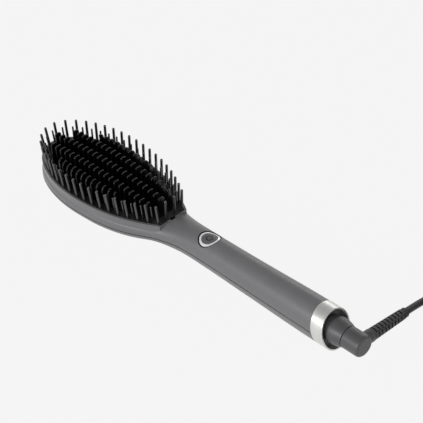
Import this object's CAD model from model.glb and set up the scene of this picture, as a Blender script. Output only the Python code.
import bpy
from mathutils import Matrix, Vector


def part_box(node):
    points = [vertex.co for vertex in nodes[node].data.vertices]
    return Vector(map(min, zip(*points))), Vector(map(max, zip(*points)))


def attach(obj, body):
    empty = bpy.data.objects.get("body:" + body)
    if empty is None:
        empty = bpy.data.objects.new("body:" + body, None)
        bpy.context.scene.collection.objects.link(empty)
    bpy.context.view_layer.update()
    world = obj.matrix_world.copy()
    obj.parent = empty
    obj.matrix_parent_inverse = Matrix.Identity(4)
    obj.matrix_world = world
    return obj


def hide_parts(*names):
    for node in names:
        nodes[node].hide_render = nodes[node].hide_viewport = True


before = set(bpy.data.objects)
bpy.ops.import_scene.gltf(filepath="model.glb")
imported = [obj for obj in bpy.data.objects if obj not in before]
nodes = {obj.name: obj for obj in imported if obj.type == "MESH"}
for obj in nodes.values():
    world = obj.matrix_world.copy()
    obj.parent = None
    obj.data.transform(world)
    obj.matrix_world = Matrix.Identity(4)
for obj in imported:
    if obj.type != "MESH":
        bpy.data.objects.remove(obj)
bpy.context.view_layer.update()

from math import cos, pi, radians, sin

import bmesh
import bpy
from mathutils import Matrix, Quaternion, Vector
from mathutils.bvhtree import BVHTree

scene = bpy.context.scene
MM = 0.001                     # metres in a millimetre
AXIS_Z = 15.6                  # height of the axis that the cord's elbow turns on, in millimetres


def put(name, data):
    """Puts an object into the scene."""
    made = bpy.data.objects.new(name, data)
    scene.collection.objects.link(made)
    return made


def facing(place, aim):
    return (Vector(aim) - Vector(place)).to_track_quat("-Z", "Y")


# ---- camera ---------------------------------------------------------------------------------
CAMERA_PLACE, CAMERA_AIM = (0.6392, -0.52026, 0.71865), (-0.02833, 0.04256, 0.0)
CAMERA_ROLL = -5.7656          # degrees
CAMERA_LENS, CAMERA_SENSOR = 128.85, 36.0


def place_camera():
    made = bpy.data.cameras.new("camera")
    made.sensor_width = CAMERA_SENSOR
    made.lens = CAMERA_LENS
    camera = put("camera", made)
    camera.rotation_mode = "QUATERNION"
    camera.location = CAMERA_PLACE
    level = facing(CAMERA_PLACE, CAMERA_AIM)
    camera.rotation_quaternion = level @ Quaternion((0, 0, 1), radians(CAMERA_ROLL))
    scene.camera = camera


place_camera()


# ---- materials ------------------------------------------------------------------------------
NOISE_SPAN = (0.3, 0.7)        # where most of a noise pattern lies
NOISE_ROUGH = 0.55
MAP_RANGE = ("From Min", "From Max", "To Min", "To Max")


def linear(value):
    """A level written as on a screen, 0 to 255, as Blender mixes it."""
    share = value / 255
    return share / 12.92 if share <= 0.04045 else ((share + 0.055) / 1.055) ** 2.4


def tint(*levels):
    """A colour from one grey level, or from its red, green and blue ones."""
    if len(levels) == 1:
        levels = levels * 3
    return (*[linear(level) for level in levels], 1.0)


def add_node(tree, kind, **values):
    made = tree.nodes.new(kind)
    for name, value in values.items():
        setattr(made, name, value)
    return made


def map_range(tree, value, *limits):
    made = add_node(tree, "ShaderNodeMapRange")
    for socket, number in zip(MAP_RANGE, limits):
        made.inputs[socket].default_value = number
    tree.links.new(value, made.inputs["Value"])
    return made.outputs["Result"]


class Finish:
    """A material with one surface shader, to which grain, mottling and wear are added."""

    def __init__(self, name, colour, roughness, metallic=0.0, specular=0.5):
        self.material = bpy.data.materials.new(name)
        self.material.use_nodes = True
        self.tree = self.material.node_tree
        self.surface = self.tree.nodes["Principled BSDF"]
        self.colour = colour
        self.roughness = roughness
        plain = {
            "Base Color": colour, "Roughness": roughness, "Metallic": metallic,
            "Specular IOR Level": specular,
        }
        for socket, value in plain.items():
            self.surface.inputs[socket].default_value = value
        self.place = self.node("ShaderNodeTexCoord")

    def node(self, kind, **values):
        return add_node(self.tree, kind, **values)

    def join(self, start, end):
        self.tree.links.new(start, end)

    def noise(self, scale, detail=3.0):
        """A noise pattern of so many cells per metre, the same along each axis or one for each."""
        mapping = self.node("ShaderNodeMapping")
        cells = scale if hasattr(scale, "__len__") else (scale,) * 3
        mapping.inputs["Scale"].default_value = cells
        self.join(self.place.outputs["Object"], mapping.inputs["Vector"])
        made = self.node("ShaderNodeTexNoise")
        made.inputs["Scale"].default_value = 1.0
        made.inputs["Detail"].default_value = detail
        made.inputs["Roughness"].default_value = NOISE_ROUGH
        self.join(mapping.outputs["Vector"], made.inputs["Vector"])
        return made.outputs["Fac"]

    def ranged(self, value, *limits):
        return map_range(self.tree, value, *limits)

    def mottle(self, scale, spread):
        """Colour a little lighter and darker in patches."""
        mix = self.node("ShaderNodeMix", data_type="RGBA", blend_type="MIX")
        for socket, share in (("A", 1 - spread), ("B", 1 + spread)):
            patch = [min(level * share, 1.0) for level in self.colour[:3]]
            mix.inputs[socket].default_value = (*patch, 1.0)
        self.join(self.ranged(self.noise(scale), *NOISE_SPAN, 0, 1), mix.inputs["Factor"])
        self.join(mix.outputs["Result"], self.surface.inputs["Base Color"])
        return self

    def wear(self, scale, spread):
        """Gloss that changes a little from place to place."""
        low, high = self.roughness - spread, self.roughness + spread
        gloss = self.ranged(self.noise(scale, detail=4.0), *NOISE_SPAN, low, high)
        self.join(gloss, self.surface.inputs["Roughness"])
        return self

    def grain(self, scale, depth, detail=2.0):
        """Fine bumps, with their depth in metres."""
        bump = self.node("ShaderNodeBump")
        bump.inputs["Strength"].default_value = 1.0
        bump.inputs["Distance"].default_value = depth
        self.join(self.noise(scale, detail), bump.inputs["Height"])
        self.join(bump.outputs["Normal"], self.surface.inputs["Normal"])
        return self

    def dark_near_line(self, point, tilt, radii, share):
        """Darker round a line along Y through a point in mm, tipped down by a tilt in degrees.

        The colour falls to a share within the first radius and is unchanged past the second.
        """
        shift = self.node("ShaderNodeMapping", vector_type="TEXTURE")
        shift.inputs["Location"].default_value = [value * MM for value in point]
        shift.inputs["Rotation"].default_value = (-radians(tilt), 0, 0)
        self.join(self.place.outputs["Object"], shift.inputs["Vector"])
        parts = self.node("ShaderNodeSeparateXYZ")
        self.join(shift.outputs["Vector"], parts.inputs["Vector"])
        flat = self.node("ShaderNodeCombineXYZ")
        for side in ("X", "Z"):
            self.join(parts.outputs[side], flat.inputs[side])
        reach = self.node("ShaderNodeVectorMath", operation="LENGTH")
        self.join(flat.outputs["Vector"], reach.inputs[0])
        mix = self.node("ShaderNodeMix", data_type="RGBA", blend_type="MULTIPLY")
        mix.inputs["B"].default_value = (share, share, share, 1.0)
        inner, outer = [radius * MM for radius in radii]
        self.join(self.ranged(reach.outputs["Value"], inner, outer, 1, 0), mix.inputs["Factor"])
        base = self.surface.inputs["Base Color"]
        self.join(base.links[0].from_socket, mix.inputs["A"])
        self.join(mix.outputs["Result"], base)
        return self


housing_grey = Finish("satin grey moulded plastic", tint(113, 113, 115), 0.36, specular=0.55)
housing_grey.mottle(60, 0.03).wear(240, 0.03).grain(5200, 12e-6)
bristle_black = Finish("black moulded nylon", tint(26), 0.25, specular=1.0)
bristle_black.mottle(300, 0.2).wear(800, 0.05).grain(4000, 10e-6)
frame_black = Finish("black bristle frame", tint(22), 0.36)
frame_black.mottle(200, 0.2).wear(500, 0.05).grain(5000, 10e-6)
ceramic_black = Finish("black ceramic coat", tint(6), 0.2, specular=0.45)
ceramic_black.mottle(900, 0.3).wear(700, 0.04).grain(6500, 12e-6)
white_ceramic = Finish("white heater ceramic", tint(228, 226, 218), 0.3)
white_ceramic.mottle(300, 0.04).wear(500, 0.05).grain(3000, 10e-6)
bare_steel = Finish("bare steel", tint(178, 178, 180), 0.32, metallic=1.0)
bare_steel.mottle(350, 0.06).wear((90, 2500, 2500), 0.08).grain((200, 6000, 6000), 6e-6)
felt = Finish("pale fibre felt", tint(206, 202, 190), 0.95)
felt.mottle(900, 0.12).wear(900, 0.03).grain(1800, 150e-6, detail=5.0)
glazed = Finish("glazed component", tint(46, 46, 52), 0.25)
glazed.mottle(500, 0.15).wear(500, 0.05).grain(3000, 8e-6)
wire_sleeve = Finish("silicone wire sleeve", tint(196, 192, 186), 0.5)
wire_sleeve.mottle(400, 0.05).wear(500, 0.05).grain(3000, 10e-6)
chrome = Finish("bright satin chrome", tint(250, 250, 252), 0.3, metallic=0.55)
chrome.mottle(300, 0.02).wear(900, 0.03).grain(2500, 2e-6)
soft_seal = Finish("black soft seal", tint(9), 0.7)
soft_seal.mottle(500, 0.2).wear(500, 0.05).grain(2500, 20e-6)
button_grey = Finish("dark button cap", tint(96, 96, 98), 0.42)
button_grey.mottle(250, 0.06).wear(400, 0.04).grain(5200, 10e-6)
mark_black = Finish("black printed mark", tint(12), 0.6, specular=0.3)
mark_black.mottle(600, 0.1).wear(500, 0.05).grain(5200, 6e-6)
board_green = Finish("green circuit board", tint(36, 84, 52), 0.4)
board_green.mottle(700, 0.2).wear(500, 0.06).grain(2500, 20e-6)
component_black = Finish("black component", tint(34), 0.45)
component_black.mottle(500, 0.2).wear(500, 0.06).grain(3000, 10e-6)
brushed_band = Finish("brushed silver band", tint(214, 214, 211), 0.34, metallic=0.75)
brushed_band.mottle((220, 60, 60), 0.05).wear((9000, 300, 300), 0.07).grain((14000, 160, 160), 4e-6)
swivel_grey = Finish("dark grey moulded plastic", tint(82, 82, 84), 0.4)
swivel_grey.mottle(150, 0.05).wear(300, 0.04).grain(5200, 12e-6)
brass = Finish("bare brass", tint(206, 178, 112), 0.3, metallic=1.0)
brass.mottle(300, 0.06).wear(600, 0.08).grain(3000, 6e-6)
cord_grey = Finish("dark grey cord sleeve", tint(58, 58, 60), 0.5)
cord_grey.mottle(200, 0.06).wear(500, 0.05).grain(3200, 20e-6)
boot_grey = Finish("dark grey soft moulding", tint(40, 40, 42), 0.55)
boot_grey.mottle(300, 0.06).wear(500, 0.05).grain(3200, 20e-6)
slotted_grey = Finish("dark grey slotted boot", tint(66, 66, 68), 0.55)
slotted_grey.mottle(300, 0.06).wear(500, 0.05).grain(3200, 20e-6)
strap_black = Finish("black woven strap", tint(26), 0.85, specular=0.3)
strap_black.mottle(700, 0.25).wear(500, 0.05).grain((2600, 900, 900), 100e-6)

BOOT_X, BOOT_TILT = 157.0, 6.5       # millimetres, degrees
SLOT_RADII, SLOT_SHADE = (3.2, 3.8), 0.06
slotted_grey.dark_near_line((BOOT_X, 0.0, AXIS_Z), BOOT_TILT, SLOT_RADII, SLOT_SHADE)

FINISHES = {
    housing_grey: ("upper_housing", "back_cover"),
    bristle_black: ("tall_bristles", "short_bristles"),
    frame_black: ("bristle_frame",),
    ceramic_black: ("heated_plate", "comb_fins"),
    white_ceramic: ("ceramic_heater",),
    bare_steel: (
        "heater_clamp", "clamp_screws", "heat_shield", "shield_screws", "board_screws",
        "swivel_clip", "contact_pins",
    ),
    felt: ("insulation_pad",),
    glazed: ("thermal_fuse", "thermistor"),
    wire_sleeve: ("heater_leads", "sensor_leads", "mains_leads"),
    chrome: ("button_ring",),
    soft_seal: ("button_seal",),
    button_grey: ("power_button", "switch_plunger", "tact_switch"),
    board_green: ("control_board",),
    component_black: ("board_parts",),
    brushed_band: ("end_band",),
    swivel_grey: ("end_cap", "swivel_collar", "swivel_elbow", "contact_holder"),
    brass: ("slip_rings", "plug_pins"),
    slotted_grey: ("strain_relief",),
    boot_grey: ("coil_tie", "plug_body"),
    cord_grey: ("cord_lead", "cord_coil", "cord_tail"),
}
for finish, names in FINISHES.items():
    for name in names:
        nodes[name].data.materials.clear()
        nodes[name].data.materials.append(finish.material)


# ---- making pieces --------------------------------------------------------------------------
# From here on, sizes and places of pieces are in millimetres unless a comment says metres.
WELD = 0.000002                # metres within which points become one
SMOOTH_ANGLE = 35              # degrees up to which faces shade as one surface
CORNER_STEPS = 6


def finished(shape, name, finish, body, slot, *stands_for):
    """Turns a worked shape into a piece that rides on a body."""
    bmesh.ops.recalc_face_normals(shape, faces=shape.faces)
    mesh = bpy.data.meshes.new(name)
    shape.to_mesh(mesh)
    shape.free()
    mesh.materials.append(finish.material)
    piece = put(name, mesh)
    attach(piece, body)
    if stands_for:
        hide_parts(*stands_for)
    return piece


def smooth(piece):
    piece.data.set_sharp_from_angle(angle=radians(SMOOTH_ANGLE))
    for face in piece.data.polygons:
        face.use_smooth = True


def copied(name):
    """A node's shape, with its loose triangles joined."""
    shape = bmesh.new()
    shape.from_mesh(nodes[name].data)
    bmesh.ops.remove_doubles(shape, verts=shape.verts, dist=WELD)
    return shape


def points_of(parts):
    return [part for part in parts if isinstance(part, bmesh.types.BMVert)]


def sharp_edges(shape, angle):
    inner = [edge for edge in shape.edges if len(edge.link_faces) == 2]
    return [edge for edge in inner if edge.calc_face_angle() > radians(angle)]


def round_off(shape, parts, width, segments, affect="EDGES"):
    """Rounds edges or corners, with the width in the shape's own unit."""
    bmesh.ops.bevel(shape, geom=parts, offset=width, offset_type="OFFSET", affect=affect,
                    segments=segments, profile=0.5, material=-1, clamp_overlap=True)


# ---- comb fins ------------------------------------------------------------------------------
FIN_RIM, FIN_RIM_STEPS = 0.14, 2
FIN_FOOT = 0.2                 # height above the blades' lowest point up to which edges stay square
FLAT_ANGLE = 1                 # degrees up to which triangles join into one face


def round_off_fins():
    """Blades with rounded rims instead of square ones."""
    shape = copied("comb_fins")
    bmesh.ops.dissolve_limit(shape, angle_limit=radians(FLAT_ANGLE), verts=shape.verts,
                             edges=shape.edges)
    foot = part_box("comb_fins")[0][2] + FIN_FOOT * MM
    rims = [edge for edge in sharp_edges(shape, angle=50)
            if max(vert.co.z for vert in edge.verts) > foot]
    round_off(shape, rims, FIN_RIM * MM, FIN_RIM_STEPS)
    finished(shape, "rounded_comb_fins", ceramic_black, "housing", "plate", "comb_fins")


# ---- bristles -------------------------------------------------------------------------------
def close_bristles(name):
    """Bristles without the slivers at their ends."""
    shape = copied(name)
    bmesh.ops.dissolve_degenerate(shape, edges=shape.edges, dist=WELD)
    smooth(finished(shape, "moulded_" + name, bristle_black, "housing", "bristle", name))


# ---- power mark -----------------------------------------------------------------------------
BUTTON_X = 17.2
MARK_R, MARK_WIDTH = 2.45, 0.7
MARK_OPEN = 32.0               # degrees from the bar to each end of the ring
MARK_BAR = (0.5, 3.0)          # where the bar starts and ends
MARK_PROUD = 0.03
MARK_STEPS, MARK_BAR_STEPS = 40, 6
OVERHEAD = 0.06                # metres, above the whole brush


def draw_power_mark():
    """Open ring and bar that lie on the curved cap."""
    shape = bmesh.new()
    inner, outer = MARK_R - MARK_WIDTH / 2, MARK_R + MARK_WIDTH / 2
    start = Matrix.Rotation(radians(90 + MARK_OPEN), 3, "Z")
    ends = [shape.verts.new(start @ Vector((r, 0, 0))) for r in (inner, outer)]
    edge = shape.edges.new(ends)
    bmesh.ops.spin(shape, geom=[*ends, edge], cent=(0, 0, 0), axis=(0, 0, 1),
                   angle=radians(360 - 2 * MARK_OPEN), steps=MARK_STEPS, use_merge=False,
                   use_duplicate=False)
    low, high = MARK_BAR
    bar = bmesh.ops.create_grid(shape, x_segments=1, y_segments=MARK_BAR_STEPS, size=0.5)["verts"]
    bmesh.ops.scale(shape, verts=bar, vec=(MARK_WIDTH, high - low, 1))
    bmesh.ops.translate(shape, verts=bar, vec=(0, (low + high) / 2, 0))
    raised = set(points_of(bmesh.ops.extrude_face_region(shape, geom=shape.faces[:])["geom"]))
    button = nodes["power_button"].data
    cap = BVHTree.FromPolygons([vert.co for vert in button.vertices],
                               [tuple(face.vertices) for face in button.polygons])
    for vert in shape.verts:
        place = Vector((BUTTON_X * MM + vert.co.x * MM, vert.co.y * MM, OVERHEAD))
        hit = cap.ray_cast(place, Vector((0, 0, -1)))[0]
        lift = MARK_PROUD if vert in raised else -MARK_PROUD
        vert.co = (place.x, place.y, hit.z + lift * MM)
    finished(shape, "power_mark", mark_black, "button", "button")


# ---- cord -----------------------------------------------------------------------------------
CORD_LENGTH, CORD_D = 1.87, 5.0      # metres, millimetres
CORD_STEPS = 4                 # steps between two points of the line
CORD_ROUND = 4                 # how finely the tube is rounded
LEAD_ROUTE = (
    (157.0, 46.6979, 10.2794),
    (157.0, 60.6079, 8.6946),
    (157.3, 73.0, 5.9),
    (156.8, 85.0, 3.4),
)
TAIL_ROUTE = (
    (179.0, 132.0, 18.5),
    (194.3, 134.5, 17.4),
    (209.2, 128.4, 13.6),
    (219.4, 115.8, 9.2),
    (222.2, 104.0, 6.85),
    (222.2, 92.0, 6.85),
)
COIL_MIDDLE = (187.0, 100.0)
COIL_TURN_R = (30.0, 25.0, 20.0)
COIL_LEVELS = (3.3, 8.3, 13.3, 18.3)
POINTS_PER_TURN = 20
STEP_ACROSS = 8                # points over which a turn passes to its neighbour
COIL_END = 11.1                # turns


def coil_points():
    """Turns side by side, inward and outward by turns, in layers on top of one another."""
    turns = [(radius, level) for i, level in enumerate(COIL_LEVELS)
             for radius in COIL_TURN_R[::1 - 2 * (i % 2)]]
    outward = 1 / cos(pi / POINTS_PER_TURN)      # the line runs inside its points
    points = []
    for i in range(int(COIL_END * POINTS_PER_TURN) + 1):
        turn, place = divmod(i, POINTS_PER_TURN)
        blend = max(0, place - (POINTS_PER_TURN - STEP_ACROSS)) / STEP_ACROSS
        here, after = turns[turn], turns[min(turn + 1, len(turns) - 1)]
        radius, level = [a + (b - a) * blend for a, b in zip(here, after)]
        reach = radius * outward
        angle = pi - 2 * pi * i / POINTS_PER_TURN
        x, y = COIL_MIDDLE[0] + reach * cos(angle), COIL_MIDDLE[1] + reach * sin(angle)
        points.append((x, y, level))
    return points


def lay_cord():
    """One line from the strain relief through the coil to the plug."""
    points = [*LEAD_ROUTE, *coil_points(), *TAIL_ROUTE]
    line = bpy.data.curves.new("mains_cord", "CURVE")
    line.dimensions = "3D"
    spline = line.splines.new("NURBS")
    spline.points.add(len(points) - 1)
    for point, place in zip(spline.points, points):
        point.co = (*[value * MM for value in place], 1.0)
    spline.order_u = 3
    spline.use_endpoint_u = True
    spline.resolution_u = CORD_STEPS
    line.bevel_depth = CORD_D / 2 * MM
    line.bevel_resolution = CORD_ROUND
    line.use_fill_caps = True
    line.materials.append(cord_grey.material)
    cord = put("mains_cord", line)
    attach(cord, "swivel")
    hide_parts("cord_lead", "cord_coil", "cord_tail")
    return cord


TIE_WIDTH, TIE_THICK = 8.0, 0.7
TIE_HALF, TIE_LOW, TIE_HIGH = 8.45, 0.35, 21.1      # middle of the strap's thickness
TIE_CORNER = 2.8
TIE_LAP_HALF, TIE_LAP_Y = 5.5, -1.0                 # the lapped end: half its length, its middle
STAND_UP = Matrix(((0, 0, 1), (1, 0, 0), (0, 1, 0)))


def wrap_tie():
    """Flat strap round all the turns, with its end lapped over."""
    shape = bmesh.new()
    corners = bmesh.ops.create_grid(shape, x_segments=1, y_segments=1, size=1)["verts"]
    bmesh.ops.scale(shape, verts=corners, vec=(TIE_HALF, (TIE_HIGH - TIE_LOW) / 2, 1))
    bmesh.ops.rotate(shape, verts=corners, cent=(0, 0, 0), matrix=STAND_UP)
    middle = (-TIE_WIDTH / 2, 0, (TIE_HIGH + TIE_LOW) / 2)
    bmesh.ops.translate(shape, verts=corners, vec=middle)
    round_off(shape, shape.verts[:], TIE_CORNER, CORNER_STEPS, affect="VERTICES")
    bmesh.ops.delete(shape, geom=shape.faces[:], context="FACES_ONLY")
    loop = bmesh.ops.extrude_edge_only(shape, edges=shape.edges[:])["geom"]
    bmesh.ops.translate(shape, verts=points_of(loop), vec=(TIE_WIDTH, 0, 0))
    lap = bmesh.ops.create_grid(shape, x_segments=1, y_segments=1, size=1)["verts"]
    bmesh.ops.scale(shape, verts=lap, vec=(TIE_WIDTH / 2, TIE_LAP_HALF, 1))
    bmesh.ops.translate(shape, verts=lap, vec=(0, TIE_LAP_Y, TIE_HIGH + TIE_THICK))
    bmesh.ops.recalc_face_normals(shape, faces=shape.faces)
    bmesh.ops.solidify(shape, geom=shape.faces[:], thickness=TIE_THICK / 2)
    bmesh.ops.scale(shape, verts=shape.verts, vec=(MM, MM, MM))
    place = (COIL_MIDDLE[0] * MM, (COIL_MIDDLE[1] - COIL_TURN_R[1]) * MM, 0)
    bmesh.ops.translate(shape, verts=shape.verts, vec=place)
    return finished(shape, "coil_strap", strap_black, "swivel", "cord", "coil_tie")


# ---- plug -----------------------------------------------------------------------------------
PLUG_X, PLUG_CORD_END_Y, PLUG_MIDDLE_Z = TAIL_ROUTE[-1]
PLUG_THICK = 2 * PLUG_MIDDLE_Z
PLUG_SHOULDER_Y = 70           # where the body meets its relief
PLUG_OUTLINE = (
    (-17.5, 34), (17.5, 34), (17.5, 46), (7, PLUG_SHOULDER_Y), (-7, PLUG_SHOULDER_Y), (-17.5, 46),
)
PLUG_CORNER, PLUG_RIM, PLUG_RIM_STEPS = 4.0, 2.6, 5
GRIP_Y = (49.0, 52.6, 56.2, 59.8)
GRIP_LENGTH, GRIP_WIDTH, GRIP_PROUD = 13.0, 1.4, 0.6
GRIP_ROUND, GRIP_STEPS = 0.45, 3
RELIEF_R = (3.25, 4.7)         # at the cord's end and at the body
RELIEF_RIBS, RELIEF_PITCH, RELIEF_SLOT, RELIEF_DEEP = 6, 3.3, 1.2, 0.7
RELIEF_ROOT = 2.0              # how far it stands in the body
RELIEF_STEPS = 40
PLUG_WELD = 0.0005             # millimetres


def add_grip(shape, y):
    """Closed bar with rounded edges across the plug's top."""
    bar = bmesh.ops.create_cube(shape, size=1.0)["verts"]
    bmesh.ops.scale(shape, verts=bar, vec=(GRIP_LENGTH, GRIP_WIDTH, 2 * GRIP_PROUD))
    bmesh.ops.translate(shape, verts=bar, vec=(PLUG_X, y, PLUG_THICK))
    edges = list({edge for vert in bar for edge in vert.link_edges})
    round_off(shape, edges, GRIP_ROUND, GRIP_STEPS)


def add_relief(shape):
    """Ribbed sleeve turned round the cord's end."""
    rings = [(0, PLUG_CORD_END_Y)]
    for i in range(RELIEF_RIBS):
        radius = RELIEF_R[0] + (RELIEF_R[1] - RELIEF_R[0]) * i / RELIEF_RIBS
        start = PLUG_CORD_END_Y - i * RELIEF_PITCH
        end = start - RELIEF_PITCH + RELIEF_SLOT
        groove = radius - RELIEF_DEEP
        rings += [(radius, start), (radius, end), (groove, end), (groove, end - RELIEF_SLOT)]
    last, root = rings[-1][1], PLUG_SHOULDER_Y - RELIEF_ROOT
    rings += [(RELIEF_R[1], last), (RELIEF_R[1], root), (0, root)]
    line = [shape.verts.new((PLUG_X + radius, y, PLUG_MIDDLE_Z)) for radius, y in rings]
    edges = [shape.edges.new(pair) for pair in zip(line, line[1:])]
    bmesh.ops.spin(shape, geom=line + edges, cent=(PLUG_X, 0, PLUG_MIDDLE_Z), axis=(0, 1, 0),
                   angle=2 * pi, steps=RELIEF_STEPS, use_merge=True, use_duplicate=False)
    bmesh.ops.remove_doubles(shape, verts=shape.verts, dist=PLUG_WELD)


def mould_plug():
    """Rounded plug body with finger grips on top and a ribbed relief round the cord."""
    shape = bmesh.new()
    shape.faces.new([shape.verts.new((PLUG_X + x, y, 0)) for x, y in PLUG_OUTLINE])
    round_off(shape, shape.verts[:], PLUG_CORNER, CORNER_STEPS, affect="VERTICES")
    top = bmesh.ops.extrude_face_region(shape, geom=shape.faces[:], use_keep_orig=True)["geom"]
    bmesh.ops.translate(shape, verts=points_of(top), vec=(0, 0, PLUG_THICK))
    bmesh.ops.recalc_face_normals(shape, faces=shape.faces)
    round_off(shape, sharp_edges(shape, angle=60), PLUG_RIM, PLUG_RIM_STEPS)
    for y in GRIP_Y:
        add_grip(shape, y)
    add_relief(shape)
    bmesh.ops.scale(shape, verts=shape.verts, vec=(MM, MM, MM))
    plug = finished(shape, "moulded_plug", boot_grey, "swivel", "cord", "plug_body")
    smooth(plug)
    return plug


round_off_fins()
close_bristles("tall_bristles")
close_bristles("short_bristles")
draw_power_mark()
plug = mould_plug()
cord = lay_cord()
strap = wrap_tie()


# ---- studio ---------------------------------------------------------------------------------
FLOOR_REACH, FLOOR_Z = 4.0, -0.00002
FLOOR_TONE = 0.35              # what it sends back onto the brush
FLOOR_SEEN, FLOOR_GLOW = 249, 0.95   # the level it shows, and the share of it that ignores shadow
ROOM_RISE = 0.15               # height, of 1 straight up, at which the room starts to fade
ROOM_LIGHT = (0.6, 0.06, 1.0)        # level, overhead, and the height at which that is reached
ROOM_MIRRORED = (0.95, 0.3, 0.95)    # the same three for the room that metal and gloss mirror
LAMPS = (                            # name, place, width and height in metres, watts
    ("near light", (0.15, -1.4, 0.68), (1.8, 0.6), 18),
    ("far light", (-0.2, 1.5, 0.5), (1.8, 0.5), 4.5),
)


def paint_floor():
    """Pale paint that keeps a little of the brush's shadow."""
    paint = bpy.data.materials.new("pale studio floor")
    paint.use_nodes = True
    tree = paint.node_tree
    tree.nodes.clear()
    out = add_node(tree, "ShaderNodeOutputMaterial")
    matte = add_node(tree, "ShaderNodeBsdfDiffuse")
    matte.inputs["Color"].default_value = (FLOOR_TONE, FLOOR_TONE, FLOOR_TONE, 1)
    glow = add_node(tree, "ShaderNodeEmission")
    glow.inputs["Color"].default_value = tint(FLOOR_SEEN)
    glow.inputs["Strength"].default_value = 1.0
    mix = add_node(tree, "ShaderNodeMixShader")
    path = add_node(tree, "ShaderNodeLightPath")
    seen = add_node(tree, "ShaderNodeMath", operation="MAXIMUM")
    share = add_node(tree, "ShaderNodeMath", operation="MULTIPLY")
    share.inputs[1].default_value = FLOOR_GLOW
    for start, end in (
        (path.outputs["Is Camera Ray"], seen.inputs[0]),
        (path.outputs["Is Glossy Ray"], seen.inputs[1]),
        (seen.outputs[0], share.inputs[0]),
        (share.outputs[0], mix.inputs["Fac"]),
        (matte.outputs[0], mix.inputs[1]),
        (glow.outputs[0], mix.inputs[2]),
        (mix.outputs[0], out.inputs["Surface"]),
    ):
        tree.links.new(start, end)
    return paint


def lay_floor():
    mesh = bpy.data.meshes.new("studio_floor")
    shape = bmesh.new()
    bmesh.ops.create_grid(shape, x_segments=1, y_segments=1, size=FLOOR_REACH)
    bmesh.ops.translate(shape, verts=shape.verts, vec=(0, 0, FLOOR_Z))
    shape.to_mesh(mesh)
    shape.free()
    mesh.materials.append(paint_floor())
    put("studio_floor", mesh)


def hang_lamp(name, place, size, power):
    """Soft lamp that faces the middle of the brush."""
    made = bpy.data.lights.new(name, "AREA")
    made.shape = "RECTANGLE"
    made.size, made.size_y = size
    made.energy = power
    lamp = put(name, made)
    lamp.location = place
    lamp.rotation_mode = "QUATERNION"
    lamp.rotation_quaternion = facing(place, (0, 0, 0))


def light_room():
    """Soft light from the sides, near and far, with the room darker overhead."""
    world = bpy.data.worlds.new("studio")
    scene.world = world
    world.use_nodes = True
    tree = world.node_tree
    ground = tree.nodes["Background"]
    ground.inputs["Color"].default_value = (1, 1, 1, 1)
    place = add_node(tree, "ShaderNodeTexCoord")
    parts = add_node(tree, "ShaderNodeSeparateXYZ")
    tree.links.new(place.outputs["Generated"], parts.inputs[0])
    path = add_node(tree, "ShaderNodeLightPath")
    mix = add_node(tree, "ShaderNodeMix", data_type="FLOAT")
    tree.links.new(path.outputs["Is Glossy Ray"], mix.inputs["Factor"])
    for socket, room in (("A", ROOM_LIGHT), ("B", ROOM_MIRRORED)):
        level, overhead, height = room
        fade = map_range(tree, parts.outputs["Z"], ROOM_RISE, height, level, overhead)
        tree.links.new(fade, mix.inputs[socket])
    tree.links.new(mix.outputs["Result"], ground.inputs["Strength"])
    for lamp in LAMPS:
        hang_lamp(*lamp)


lay_floor()
light_room()
scene.view_settings.view_transform = "Standard"
